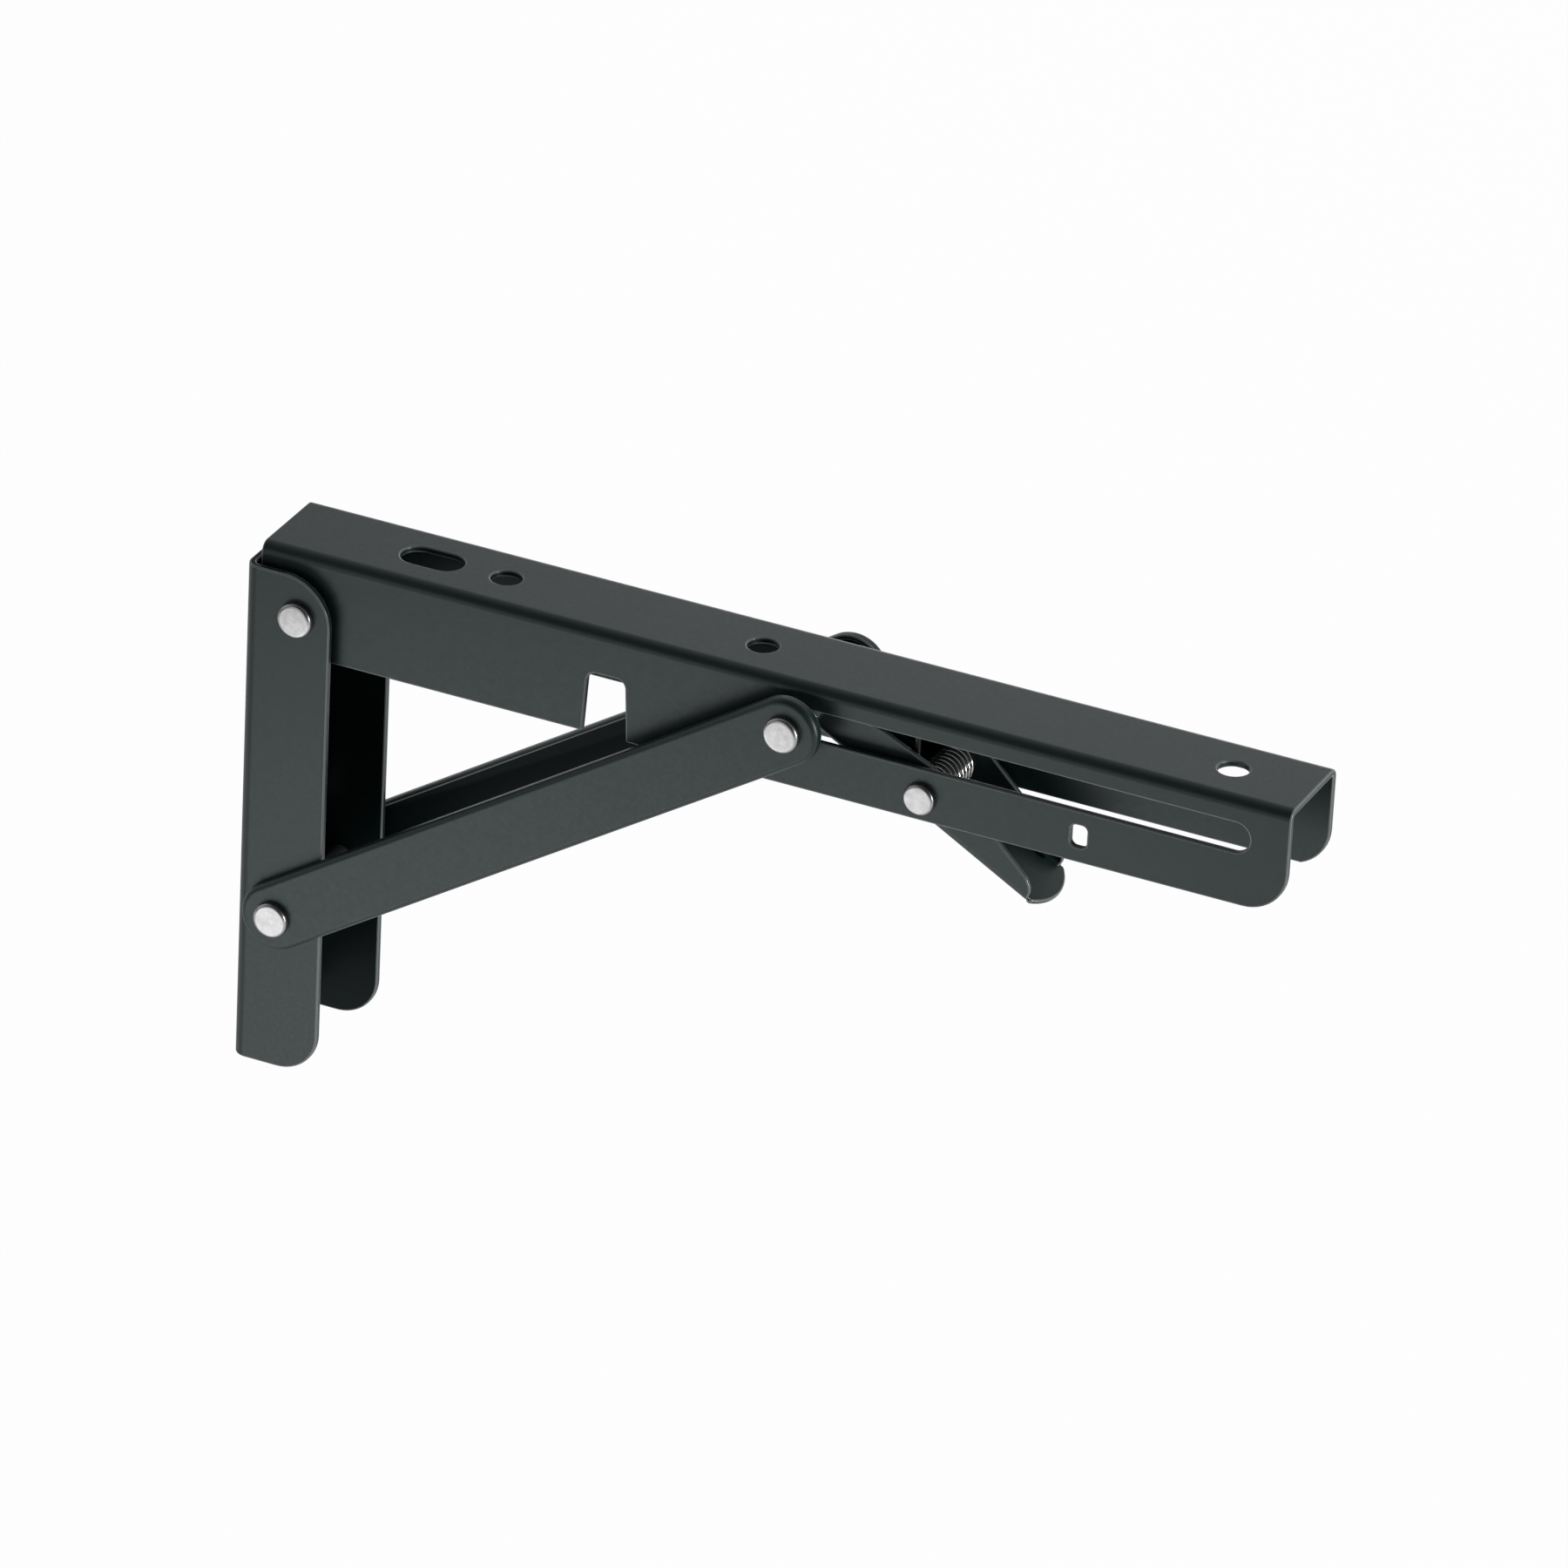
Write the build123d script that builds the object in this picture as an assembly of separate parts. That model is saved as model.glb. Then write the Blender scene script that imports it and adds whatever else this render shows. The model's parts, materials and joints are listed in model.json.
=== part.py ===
from build123d import *
import math
import os

# Folding shelf bracket: wall plate, shelf arm, two brace straps and a sprung release lever.
# +X points out from the wall, +Y across the bracket and +Z up, in millimetres.
# The origin is the centre of the wall plate's back face. The bracket is open.

# Sheet and fits
sheet = 2.0
bend_inside = 1.0
pivot_clearance = 0.05
side_gap = 0.3

# Wall plate
plate_height = 149.0
plate_width = 37.6
plate_depth = 25.7
plate_bend_inside = 2.0
plate_top_round = 14.0
plate_bottom_round = 12.0
wall_hole_diameter = 8.5
wall_hole_top_drop = 44.0
wall_hole_pitch = 45.0
wall_hole_count = 3

# Shelf arm
shelf_rise = 5.3
arm_wall_gap = 1.0
arm_depth = 30.6
right_flange_trim = 0.9
arm_front_x = 300.0
arm_front_round = 12.0
shelf_hole_diameter = 8.5
shelf_holes_x = (68.0, 143.0, 277.3)
shelf_slot_x = 46.2
shelf_slot_length = 18.0
shelf_slot_width = 10.4
guide_slot_height = 8.6
guide_slot_drop = 11.3
guide_slot_front_x = 289.0
notch_width = 10.8
notch_mouth_width = 13.0
notch_top_drop = 12.8
notch_round = 2.6
jig_hole_x = 241.5
jig_hole_drop = 23.0
jig_hole_size = (4.6, 6.4)
jig_hole_round = 1.6

# Pivots, each as distance from the wall and drop below the shelf face
hinge_drop = 17.6
brace_pivot_x = 13.3
brace_pivot_drop = 107.1
slide_x = 159.9
lever_pivot_x = 196.5
lever_pivot_drop = 23.9

# Brace straps
strap_width = 19.4
strap_depth = 3.5
strap_sheet = 1.5
strap_round = 1.7

# Rivets and what sits on them
rivet_shank_radius = 3.0
rivet_head_radius = 5.0
rivet_head_height = 2.1
lever_shank_radius = 2.5
lever_head_radius = 4.4
lever_head_height = 1.9
head_round = 0.6
washer_radius = 5.8
hinge_washer_thickness = 1.4
lever_washer_thickness = 1.0
brace_sleeve_radius = 4.0
slide_collar_radius = 6.4
slide_retainer_radius = 4.8
slide_retainer_height = 1.0

# Release lever, measured along its web (u) and square to it (v) from its pivot
lever_sheet = 1.5
lever_slope = 29.0
lever_web_offset = 7.3
lever_nose_u = -34.3
lever_nose_top_v = 1.6
lever_shoulder = (-29.0, 3.6)
lever_back_start = (-18.2, 6.2)
lever_back_end = (-3.0, 7.2)
lever_back_drop = (6.0, 7.1)
lever_cheek_end = (34.4, -1.0)
lever_cheek_tip_u = 37.6
lever_end_round = 4.0
lever_tongue_tip_u = 42.7
lever_tongue_radius = 16.0
lever_corner_round = 1.6

# Torsion spring
spring_wire = 1.8
spring_pitch = 1.95
spring_sleeve_radius = 3.4
spring_lever_leg = 34.0
spring_bend_radius = 0.96

# Places worked out from the sizes above
arm_top_z = plate_height / 2 + shelf_rise
plate_inside = plate_width / 2 - sheet
arm_half = plate_inside - hinge_washer_thickness - 2 * side_gap
arm_width = 2 * arm_half
arm_inside = arm_half - sheet
arm_rear_x = sheet + arm_wall_gap
hinge_x = arm_rear_x + arm_depth - hinge_drop
strap_inner_y = plate_width / 2 + side_gap
strap_outer_y = strap_inner_y + strap_depth
strap_web_y = strap_outer_y - strap_sheet
hinge = Vector(hinge_x, 0, arm_top_z - hinge_drop)
brace_pivot = Vector(brace_pivot_x, 0, arm_top_z - brace_pivot_drop)
slide = Vector(slide_x, 0, arm_top_z - guide_slot_drop)
lever_pivot = Vector(lever_pivot_x, 0, arm_top_z - lever_pivot_drop)
brace_line = slide - brace_pivot
brace_length = brace_line.length
notch_x = hinge_x + math.hypot(brace_pivot_drop - hinge_drop, brace_pivot_x - hinge_x) - 0.5
lever_along = Vector(math.cos(math.radians(lever_slope)), 0, -math.sin(math.radians(lever_slope)))
lever_up = Vector(math.sin(math.radians(lever_slope)), 0, math.cos(math.radians(lever_slope)))
lever_half = arm_inside - lever_washer_thickness - 2 * side_gap
lever_width = 2 * lever_half
lever_inside = lever_half - lever_sheet
spring_inner_radius = spring_sleeve_radius + side_gap
spring_radius = spring_inner_radius + spring_wire / 2
spring_part_turn = (90 - lever_slope) / 360
spring_room = 2 * (lever_inside - side_gap) - spring_wire
spring_turns = math.floor(spring_room / spring_pitch - spring_part_turn) + spring_part_turn


def rod(radius, y_from, y_to):
    """A round bar on the Y axis."""
    return Pos(0, (y_from + y_to) / 2, 0) * Rot(90, 0, 0) * Cylinder(radius, abs(y_to - y_from))


def ring(outer, inner, y_from, y_to):
    """A tube or washer on the Y axis."""
    return rod(outer, y_from, y_to) - rod(inner, min(y_from, y_to) - 1, max(y_from, y_to) + 1)


def at(point, shape):
    """The shape moved from the origin to a point."""
    return Pos(point.X, point.Y, point.Z) * shape


def channel_section(width, depth, thickness, bend):
    """A folded U: web on local x = 0, open towards +x, with a bend radius at both corners."""
    outer = Rectangle(depth, width, align=(Align.MIN, Align.CENTER))
    outer = fillet(outer.vertices().group_by(Axis.X)[0], bend + thickness)
    hollow = Pos(thickness, 0) * Rectangle(depth, width - 2 * thickness, align=(Align.MIN, Align.CENTER))
    hollow = fillet(hollow.vertices().group_by(Axis.X)[0], bend)
    return outer - hollow


def round_corner(outline, x, z, radius):
    """The outline with the corner nearest (x, z) rounded."""
    corner = outline.vertices().sort_by_distance((x, z, 0))[0]
    return fillet(corner, radius)


def through_side(outline, half_width):
    """An outline drawn in X and Z, carried through the bracket along Y."""
    return extrude(Plane.XZ * outline, amount=half_width, both=True)


def wall_plate():
    """The folded wall plate, with its two cheeks and the screw holes in its web."""
    section = channel_section(plate_width, plate_depth, sheet, plate_bend_inside)
    body = Pos(0, 0, -plate_height / 2) * extrude(section, amount=plate_height)
    outline = Rectangle(plate_depth, plate_height, align=(Align.MIN, Align.CENTER))
    outline = round_corner(outline, plate_depth, plate_height / 2, plate_top_round)
    outline = round_corner(outline, plate_depth, -plate_height / 2, plate_bottom_round)
    hole = rivet_shank_radius + pivot_clearance
    outline -= Pos(hinge.X, hinge.Z) * Circle(hole)
    outline -= Pos(brace_pivot.X, brace_pivot.Z) * Circle(hole)
    body = body & through_side(outline, plate_width)
    for index in range(wall_hole_count):
        z = plate_height / 2 - wall_hole_top_drop - index * wall_hole_pitch
        body -= Pos(0, 0, z) * Rot(0, 90, 0) * Cylinder(wall_hole_diameter / 2, 4 * sheet)
    return body


def notch_outline():
    """The mouth in the flange edge that takes the lower brace pivot when the arm is folded."""
    top = arm_top_z - notch_top_drop
    mouth = arm_top_z - arm_depth - 1
    half = notch_width / 2
    half_mouth = notch_mouth_width / 2
    shape = make_face(Polyline((notch_x - half, top), (notch_x + half, top),
                               (notch_x + half_mouth, mouth), (notch_x - half_mouth, mouth), close=True))
    shape = round_corner(shape, notch_x - half, top, notch_round)
    return round_corner(shape, notch_x + half, top, notch_round)


def shelf_arm():
    """The folded shelf arm: web on top, guide slot, notch and pivot holes in both flanges."""
    section = channel_section(arm_width, arm_depth, sheet, bend_inside)
    start = Plane(origin=(arm_rear_x, 0, arm_top_z), x_dir=(0, 0, -1), z_dir=(1, 0, 0))
    body = extrude(start * section, amount=arm_front_x - arm_rear_x)
    low = arm_top_z - arm_depth
    outline = Rectangle(arm_front_x - arm_rear_x, arm_depth, align=(Align.MIN, Align.MIN))
    outline = Pos(arm_rear_x, low) * outline
    outline = round_corner(outline, arm_rear_x, low, arm_depth - hinge_drop)
    outline = round_corner(outline, arm_front_x, low, arm_front_round)
    slot_rear_x = slide_x - guide_slot_height / 2 - pivot_clearance
    slot_length = guide_slot_front_x - slot_rear_x
    outline -= Pos(slot_rear_x + slot_length / 2, slide.Z) * SlotOverall(slot_length, guide_slot_height)
    outline -= notch_outline()
    outline -= Pos(hinge.X, hinge.Z) * Circle(rivet_shank_radius + pivot_clearance)
    outline -= Pos(lever_pivot.X, lever_pivot.Z) * Circle(lever_shank_radius + pivot_clearance)
    body = body & through_side(outline, arm_width)
    body -= Pos(arm_front_x / 2, arm_half, low) * Box(arm_front_x, 2 * sheet, 2 * right_flange_trim)
    jig_hole = RectangleRounded(jig_hole_size[0], jig_hole_size[1], jig_hole_round)
    body -= extrude(Plane.XZ * Pos(jig_hole_x, arm_top_z - jig_hole_drop) * jig_hole, amount=arm_width)
    for x in shelf_holes_x:
        body -= Pos(x, 0, arm_top_z) * Cylinder(shelf_hole_diameter / 2, 4 * sheet)
    slot = extrude(SlotOverall(shelf_slot_length, shelf_slot_width), amount=2 * sheet, both=True)
    body -= Pos(shelf_slot_x, 0, arm_top_z) * slot
    return body


def brace_strap(side):
    """A shallow pressed strap with its rim turned in all round; side is -1 or +1 along Y."""
    along = brace_line.normalized()
    outward = Vector(0, side, 0)
    solid = extrude(SlotCenterToCenter(brace_length, strap_width), amount=strap_depth)
    solid = fillet(solid.edges().group_by(Axis.Z)[-1], strap_round)
    pocket_width = strap_width - 2 * strap_sheet
    pocket = extrude(SlotCenterToCenter(brace_length, pocket_width), amount=strap_depth - strap_sheet)
    solid -= pocket
    hole = Cylinder(rivet_shank_radius + pivot_clearance, 4 * strap_depth)
    for end in (-1, 1):
        solid -= Pos(end * brace_length / 2, 0, 0) * hole
    middle = brace_pivot + brace_line / 2 + outward * strap_inner_y
    return Plane(origin=middle, x_dir=along, z_dir=outward) * solid


def through_rivet(grip_half, shank_radius, head_radius, head_height):
    """A pin right through the bracket, with a flat head at both ends."""
    body = rod(shank_radius, -grip_half, grip_half)
    body += rod(head_radius, -grip_half - head_height, -grip_half)
    body += rod(head_radius, grip_half, grip_half + head_height)
    rims = body.edges().group_by(Axis.Y)[0] + body.edges().group_by(Axis.Y)[-1]
    return fillet(rims, head_round)


def side_rivet(side, shank_start_y, grip_y):
    """A rivet on one side only: a shank from shank_start_y out to a head that bears at grip_y."""
    body = rod(rivet_shank_radius, side * shank_start_y, side * grip_y)
    body += rod(rivet_head_radius, side * grip_y, side * (grip_y + rivet_head_height))
    outer = body.edges().sort_by(Axis.Y)[-1 if side > 0 else 0]
    return fillet(outer, head_round)


def slide_rivet(side):
    """The rivet that ties a strap to its guide slot, with the clinched retainer inside the flange."""
    retainer_y = arm_inside - side_gap
    body = side_rivet(side, retainer_y, strap_outer_y)
    body += rod(slide_retainer_radius, side * retainer_y, side * (retainer_y - slide_retainer_height))
    return at(slide, body)


def slide_bush(side):
    """The shouldered bush that runs in the guide slot and spaces the strap off the flange."""
    bore = rivet_shank_radius + pivot_clearance
    barrel_radius = guide_slot_height / 2 - pivot_clearance
    body = rod(slide_collar_radius, side * (arm_half + side_gap), side * strap_web_y)
    body += rod(barrel_radius, side * (arm_inside - side_gap), side * (arm_half + side_gap))
    return at(slide, body - rod(bore, -plate_width, plate_width))


def lever_outline():
    """The side view of the lever cheek, drawn along and square to the lever's web."""
    web = -lever_web_offset
    points = [(lever_nose_u, web), (lever_nose_u, lever_nose_top_v), lever_shoulder, lever_back_start,
              lever_back_end, lever_back_drop, lever_cheek_end, (lever_cheek_tip_u, web + lever_end_round),
              (lever_cheek_tip_u, web)]
    shape = make_face(Polyline(*points, close=True))
    shape = round_corner(shape, *lever_cheek_end, lever_end_round)
    shape = round_corner(shape, lever_cheek_tip_u, web + lever_end_round, lever_end_round)
    shape = round_corner(shape, *lever_back_drop, 2 * lever_corner_round)
    shape = round_corner(shape, *lever_shoulder, 2 * lever_corner_round)
    shape = round_corner(shape, lever_nose_u, lever_nose_top_v, lever_corner_round)
    return shape - Circle(lever_shank_radius + pivot_clearance)


def release_lever():
    """The sprung lever: a U folded from sheet, with a nose, two cheeks and a rounded finger tongue."""
    frame = Plane(origin=lever_pivot, x_dir=lever_along, z_dir=lever_up)
    side_view = Plane(origin=lever_pivot, x_dir=lever_along, z_dir=(0, -1, 0))
    section_frame = Plane(origin=lever_pivot + lever_along * lever_nose_u - lever_up * lever_web_offset,
                          x_dir=lever_up, z_dir=lever_along)
    section = channel_section(lever_width, 2 * lever_web_offset + lever_sheet, lever_sheet, bend_inside)
    length = lever_cheek_tip_u - lever_nose_u
    body = extrude(section_frame * section, amount=length)
    body = body & extrude(side_view * lever_outline(), amount=lever_width, both=True)
    tongue = Pos(lever_cheek_tip_u, 0) * Rectangle(lever_tongue_radius, lever_width - lever_sheet,
                                                   align=(Align.MIN, Align.CENTER))
    tongue &= Pos(lever_tongue_tip_u - lever_tongue_radius, 0) * Circle(lever_tongue_radius)
    return body + frame * Pos(0, 0, -lever_web_offset) * extrude(tongue, amount=lever_sheet)


def torsion_spring():
    """A close-wound torsion spring with one leg up to the arm's web and one along the lever's web."""
    length = spring_turns * spring_pitch
    frame = Plane(origin=(0, -length / 2, 0), x_dir=(-1, 0, 0), z_dir=(0, 1, 0))
    coil = frame * Helix(spring_pitch, length, spring_radius, lefthand=True)
    wire = Circle(spring_wire / 2)
    body = sweep(Plane(origin=coil @ 0, z_dir=coil % 0) * wire, path=coil, is_frenet=True)
    arm_leg = lever_pivot_drop - sheet - side_gap - spring_bend_radius
    for tip, way, reach in ((coil @ 0, Vector(0, 0, 1), arm_leg), (coil @ 1, lever_along, spring_lever_leg)):
        start = tip + way * spring_bend_radius / 4
        body += at(tip, Sphere(spring_bend_radius))
        body += extrude(Plane(origin=start, z_dir=way) * wire, amount=reach)
    return at(lever_pivot, body)


def build_nodes():
    """Every piece of the bracket by name."""
    sleeve_bore = rivet_shank_radius + pivot_clearance
    washer_bore = rivet_shank_radius + pivot_clearance
    lever_bore = lever_shank_radius + pivot_clearance
    nodes = {
        "wall_plate": wall_plate(),
        "hinge_rivet": at(hinge, through_rivet(plate_width / 2, rivet_shank_radius, rivet_head_radius,
                                               rivet_head_height)),
        "brace_pivot_pin": at(brace_pivot, rod(rivet_shank_radius, -plate_width / 2, plate_width / 2)),
        "brace_pivot_sleeve": at(brace_pivot, ring(brace_sleeve_radius, sleeve_bore,
                                                   -plate_inside + pivot_clearance,
                                                   plate_inside - pivot_clearance)),
        "shelf_arm": shelf_arm(),
        "lever_rivet": at(lever_pivot, through_rivet(arm_half, lever_shank_radius, lever_head_radius,
                                                     lever_head_height)),
        "spring_sleeve": at(lever_pivot, ring(spring_sleeve_radius, lever_bore, side_gap - lever_inside,
                                              lever_inside - side_gap)),
        "torsion_spring": torsion_spring(),
        "release_lever": release_lever(),
    }
    for name, side in (("left", -1), ("right", 1)):
        washer = ring(washer_radius, washer_bore,
                      side * (arm_half + side_gap), side * (plate_inside - side_gap))
        nodes["hinge_washer_" + name] = at(hinge, washer)
        washer = ring(rivet_head_radius, lever_bore,
                      side * (lever_half + side_gap), side * (arm_inside - side_gap))
        nodes["lever_washer_" + name] = at(lever_pivot, washer)
        nodes["brace_strap_" + name] = brace_strap(side)
        washer = ring(washer_radius, washer_bore, side * strap_inner_y, side * strap_web_y)
        nodes["brace_washer_" + name] = at(brace_pivot, washer)
        nodes["brace_rivet_" + name] = at(brace_pivot, side_rivet(side, strap_inner_y, strap_outer_y))
        nodes["slide_rivet_" + name] = slide_rivet(side)
        nodes["slide_bush_" + name] = slide_bush(side)
    return nodes


def print_motion():
    """The fold worked out from the pivots: slide travel, brace swing and lever swing."""
    offset = brace_pivot.X - (hinge.X + hinge_drop - guide_slot_drop)
    drop = math.sqrt(brace_length ** 2 - offset ** 2)
    travel = (hinge.Z - brace_pivot.Z) + drop - (slide.X - hinge.X)
    start = math.degrees(math.atan2(brace_line.Z, brace_line.X))
    end = -math.degrees(math.atan2(drop, -offset))
    print("brace_length", round(brace_length, 3))
    print("slide_travel_mm", round(travel, 3))
    print("brace_turn_on_arm_deg", round(start - end - 90, 3))
    for name, point in (("hinge", hinge), ("brace_pivot", brace_pivot), ("slide", slide),
                        ("lever_pivot", lever_pivot)):
        print(name, [round(value / 1000, 6) for value in point])


if __name__ == "__main__":
    os.makedirs("parts", exist_ok=True)
    for node, shape in build_nodes().items():
        export_step(shape, "parts/" + node + ".step")
    print_motion()
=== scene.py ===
# %% [markdown]
# # A folding shelf bracket
# The bracket is five moving bodies: a folded wall plate, a folded shelf arm, two brace straps,
# the rivets that slide in the arm's slots, and a sprung release lever.
# The CAD model holds every piece at its real size. This lesson dresses it: cut edges get the
# small radius that powder coat gives them, the rivets and the spring are made by rule, and each
# finish gets its own material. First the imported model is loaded, and its box is kept, because
# nothing that is added may grow out of it.

import json
import math

import bmesh
import bpy
from mathutils import Matrix, Vector
from mathutils.bvhtree import BVHTree

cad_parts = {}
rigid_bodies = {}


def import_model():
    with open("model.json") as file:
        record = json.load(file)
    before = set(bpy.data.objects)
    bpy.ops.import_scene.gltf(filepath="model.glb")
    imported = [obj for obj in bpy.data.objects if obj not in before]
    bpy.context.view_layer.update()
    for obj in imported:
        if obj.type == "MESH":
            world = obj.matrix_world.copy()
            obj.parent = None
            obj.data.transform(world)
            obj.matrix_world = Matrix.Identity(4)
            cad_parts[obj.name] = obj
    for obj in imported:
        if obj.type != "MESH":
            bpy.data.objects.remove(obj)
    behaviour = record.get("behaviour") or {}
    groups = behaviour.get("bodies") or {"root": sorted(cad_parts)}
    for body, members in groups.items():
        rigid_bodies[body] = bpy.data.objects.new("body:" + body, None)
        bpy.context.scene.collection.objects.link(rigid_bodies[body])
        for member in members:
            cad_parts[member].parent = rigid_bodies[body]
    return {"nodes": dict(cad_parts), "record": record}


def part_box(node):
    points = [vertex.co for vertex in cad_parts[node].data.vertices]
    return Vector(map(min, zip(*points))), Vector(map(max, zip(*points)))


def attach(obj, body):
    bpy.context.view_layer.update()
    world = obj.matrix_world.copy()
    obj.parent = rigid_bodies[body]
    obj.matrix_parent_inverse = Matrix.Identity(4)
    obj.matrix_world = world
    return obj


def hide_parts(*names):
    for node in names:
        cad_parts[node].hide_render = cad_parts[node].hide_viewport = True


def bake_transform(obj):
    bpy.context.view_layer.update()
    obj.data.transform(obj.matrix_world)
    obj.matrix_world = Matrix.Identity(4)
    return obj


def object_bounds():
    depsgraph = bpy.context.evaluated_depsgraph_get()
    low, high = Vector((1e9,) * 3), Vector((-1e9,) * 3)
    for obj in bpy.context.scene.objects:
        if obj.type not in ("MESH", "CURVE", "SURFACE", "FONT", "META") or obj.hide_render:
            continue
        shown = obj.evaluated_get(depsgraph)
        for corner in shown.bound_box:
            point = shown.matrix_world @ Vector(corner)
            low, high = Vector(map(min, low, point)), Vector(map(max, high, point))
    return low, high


for leftover in list(bpy.data.objects):
    bpy.data.objects.remove(leftover)

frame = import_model()
cad_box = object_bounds()
nodes = frame["nodes"]
body_of_node = {}
for body, members in frame["record"]["behaviour"]["bodies"].items():
    for member in members:
        body_of_node[member] = body

MM = 0.001
print("pieces in the packed model:", len(nodes))
print("box in millimetres:", [round(v / MM, 1) for corner in cad_box for v in corner])

# %% [markdown]
# ## Nodes from Python
# Materials and geometry trees are both made of nodes. A node has settings, such as which sum a
# Math node does, and input sockets. A socket either holds a plain value or is linked to another
# node's output. Setting and linking by hand takes a line each, so one helper does both: it looks
# at what it is given, and sets a plain value but links a socket.


# %% One node at a time
def feed(tree, socket, value):
    """Links an output to an input socket, or sets the socket to a plain value."""
    if isinstance(value, bpy.types.NodeSocket):
        tree.links.new(value, socket)
    else:
        socket.default_value = value


def add_node(tree, kind, inputs, **settings):
    """One node with its settings, and with its input sockets fed by name or by number."""
    node = tree.nodes.new(kind)
    for setting, value in settings.items():
        setattr(node, setting, value)
    for socket, value in inputs.items():
        feed(tree, node.inputs[socket], value)
    return node


def math_node(tree, operation, *values):
    """One Math node on one or two values."""
    inputs = dict(enumerate(values))
    return add_node(tree, "ShaderNodeMath", inputs, operation=operation).outputs["Value"]


print("node helpers:", feed.__name__, add_node.__name__, math_node.__name__)

# %% [markdown]
# ## Materials from nodes
# A real coat is never one flat colour. Each material starts from one Principled shader, and a
# noise changes its colour and roughness a little from place to place and gives it a bump. A
# picture could be wrapped round each piece instead, but a noise in Object coordinates needs no
# unwrapping. Each finished piece sits at the origin, so the noise keeps its real size in metres.


# %% A material to start from
def new_material(name, **sockets):
    """A material with one Principled shader, and on it the values that are the same all over."""
    material = bpy.data.materials.new(name)
    material.use_nodes = True
    shader = material.node_tree.nodes["Principled BSDF"]
    for socket, value in sockets.items():
        shader.inputs[socket.replace("_", " ")].default_value = value
    return material, shader


def object_place(tree):
    """Object coordinates, in metres."""
    return tree.nodes.new("ShaderNodeTexCoord").outputs["Object"]


print("material helpers:", new_material.__name__, object_place.__name__)

# %% A noise and its range
NOISE_MIDDLE = (0.3, 0.7)


def noise(tree, where, size, detail, roughness=0.5):
    """A noise whose blobs are about `size` metres across."""
    return add_node(tree, "ShaderNodeTexNoise", {
        "Vector": where, "Scale": 1.0 / size, "Detail": detail, "Roughness": roughness,
    }).outputs["Fac"]


def map_range(tree, value, start, end, first, last, kind="LINEAR"):
    """The value's range start..end mapped to first..last."""
    return add_node(tree, "ShaderNodeMapRange", {
        "Value": value, "From Min": start, "From Max": end, "To Min": first, "To Max": last,
    }, interpolation_type=kind).outputs["Result"]


def spread(tree, value, low, high):
    """The middle of a noise's range mapped to low..high."""
    return map_range(tree, value, *NOISE_MIDDLE, low, high)


print("a noise is used from", NOISE_MIDDLE[0], "to", NOISE_MIDDLE[1])


# %% Mixed colours and bumps
def two_tone(tree, factor, first, second):
    """A colour that goes from first to second with the factor."""
    return add_node(tree, "ShaderNodeMix", {"Factor": factor, "A": first, "B": second},
                    data_type="RGBA").outputs["Result"]


def bump(tree, height, depth, strength, under=None):
    """A bump `depth` metres high, laid over another bump if there is one."""
    inputs = {"Height": height, "Distance": depth, "Strength": strength}
    if under is not None:
        inputs["Normal"] = under
    return add_node(tree, "ShaderNodeBump", inputs).outputs["Normal"]


print("surface helpers:", two_tone.__name__, bump.__name__)

# %% [markdown]
# ## Powder coat
# Powder is sprayed on dry and baked, so it flows into a satin skin with a faint orange peel about a
# millimetre across, and a finer grain in it. The colour is a very dark grey with a little green.
# The rounded edges are smoother, and a pale line much lighter than the coat is painted on them as a
# highlight. Pointiness could find those edges, but it follows the cuts of the mesh and draws lines
# where no edge is. So the faces of the rounded edges carry the attribute `edge`, and it drives the
# painted highlight and the roughness.
# Inside the narrow channel of the wall plate and the hollow of each strap the shade is painted in,
# so a second, duller coat is made for them, nearly black.

# %% Powder coat colours and sizes
COAT = (0.011, 0.022, 0.022, 1)
COAT_DRIFT = (0.014, 0.027, 0.027, 1)
# Pale colour painted on the rounded edges as a highlight.
COAT_EDGE_HIGHLIGHT = (0.170, 0.195, 0.195, 1)
COAT_SHINE = 0.5
COAT_SHINE_TINT = (0.92, 1.0, 1.0, 1.0)
COAT_ROUGHNESS = (0.35, 0.42)
EDGE_SMOOTHER = 0.18
# Nearly black coat, with less shine, that paints shade into the channel and the strap hollows.
PAINTED_SHADE_COAT = (0.006, 0.012, 0.012, 1)
PAINTED_SHADE_COAT_SHINE = 0.07
DRIFT_SIZE = 60 * MM
PEEL_SIZE, PEEL_DEPTH = 1.1 * MM, 0.02 * MM
GRAIN_SIZE, GRAIN_DEPTH = 0.28 * MM, 0.006 * MM
COAT_BUMP = 0.5
print("orange peel", round(PEEL_SIZE / MM, 2), "mm across, grain", round(GRAIN_SIZE / MM, 2), "mm")


# %% Powder coat material
def powder_coat(name, coat, drifted, shine):
    """Satin coat that drifts a little in colour, with orange peel, grain and a painted highlight on
    its edges.
    """
    material, shader = new_material(name, IOR=1.5, Specular_IOR_Level=shine,
                                    Specular_Tint=COAT_SHINE_TINT)
    tree = material.node_tree
    where = object_place(tree)
    drift = spread(tree, noise(tree, where, DRIFT_SIZE, detail=2.0), 0, 1)
    edge = add_node(tree, "ShaderNodeAttribute", {}, attribute_name="edge").outputs["Fac"]
    flat_colour = two_tone(tree, drift, coat, drifted)
    # The rounded edges get the painted highlight colour.
    feed(tree, shader.inputs["Base Color"], two_tone(tree, edge, flat_colour, COAT_EDGE_HIGHLIGHT))
    peel = noise(tree, where, PEEL_SIZE, detail=1.0)
    grain = noise(tree, where, GRAIN_SIZE, detail=2.0)
    smoother = math_node(tree, "MULTIPLY", edge, EDGE_SMOOTHER)
    roughness = math_node(tree, "SUBTRACT", spread(tree, peel, *COAT_ROUGHNESS), smoother)
    feed(tree, shader.inputs["Roughness"], roughness)
    skin = bump(tree, peel, PEEL_DEPTH, COAT_BUMP)
    feed(tree, shader.inputs["Normal"], bump(tree, grain, GRAIN_DEPTH, COAT_BUMP, skin))
    return material


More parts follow.
